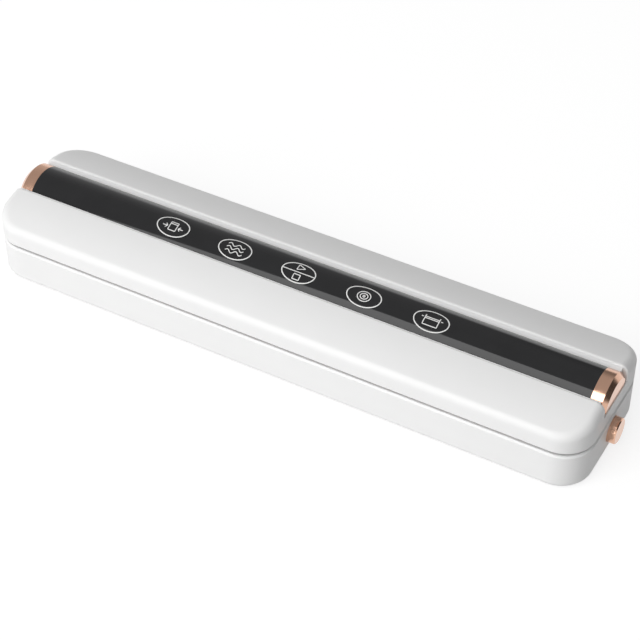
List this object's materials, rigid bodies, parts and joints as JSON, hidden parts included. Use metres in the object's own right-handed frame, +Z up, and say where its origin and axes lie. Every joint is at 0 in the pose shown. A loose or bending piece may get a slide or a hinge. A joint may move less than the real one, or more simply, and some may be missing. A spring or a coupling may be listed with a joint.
{
  "type": "vacuum sealer",
  "caption": "Long household vacuum sealer: white case with a hinged crowned lid, an arched black touch bar with rose-gold caps, end release buttons and a gasketed vacuum chamber.",
  "frame": {"origin": "on the standing surface, under the middle of the body", "axes": "+X along the body to the right as the user sees it, +Y from the front to the hinge side, +Z up"},
  "size_m": [0.373, 0.084, 0.0486],
  "materials": {
    "white_case": "satin-gloss white",
    "inner_plastic": "fine matt, off-white",
    "black_panel": "high-gloss black",
    "rose_gold": "satin rose-gold plating",
    "slider_plastic": "natural acetal",
    "gasket_foam": "closed-cell foam skin",
    "press_silicone": "matt silicone",
    "heater_base": "heat-proof moulding",
    "steel": "plain steel",
    "tape_cloth": "coated glass cloth",
    "contact_brass": "plain brass",
    "rubber_black": "matt rubber",
    "pump_plastic": "matt moulding",
    "hose_silicone": "milky silicone",
    "board_green": "solder mask",
    "core_dark": "ferrite core",
    "component_black": "matt black moulding",
    "pad_foam": "conductive foam"
  },
  "bodies": {
    "base": {"base_shell": "white_case", "base_deck": "inner_plastic", "lower_gasket": "gasket_foam", "heater_bar": "heater_base", "heating_wire": "steel", "heater_tape": "tape_cloth", "heater_terminals": "contact_brass", "hinge_pins": "steel", "pump_motor": "steel", "motor_cradle": "rubber_black", "pump_head": "pump_plastic", "pump_hose": "hose_silicone", "power_board": "board_green", "transformer": "core_dark", "board_parts": "component_black", "power_inlet": "component_black", "inlet_pins": "contact_brass", "rubber_feet": "rubber_black", "right_release_spring": "steel", "left_release_spring": "steel"},
    "lid": {"lid_shell": "white_case", "lid_liner": "inner_plastic", "upper_gasket": "gasket_foam", "press_strip": "press_silicone", "touch_panel": "black_panel", "right_end_cap": "rose_gold", "left_end_cap": "rose_gold", "touch_board": "board_green", "touch_pads": "pad_foam"},
    "right_button": {"right_release_button": "rose_gold", "right_latch_slider": "slider_plastic"},
    "left_button": {"left_release_button": "rose_gold", "left_latch_slider": "slider_plastic"}
  },
  "joints": [
    {"name": "lid_hinge", "type": "hinge", "parent": "base", "child": "lid", "pos_m": [0, 0.0382, 0.0251], "axis": [-1, 0, 0], "range_deg": [0, 75]},
    {"name": "right_release", "type": "slide", "parent": "base", "child": "right_button", "axis": [-1, 0, 0], "range_m": [0, 0.002], "stiffness_N_per_m": 800, "springref_m": -0.001, "deforming": ["right_release_spring"]},
    {"name": "left_release", "type": "slide", "parent": "base", "child": "left_button", "axis": [1, 0, 0], "range_m": [0, 0.002], "stiffness_N_per_m": 800, "springref_m": -0.001, "deforming": ["left_release_spring"]}
  ]
}
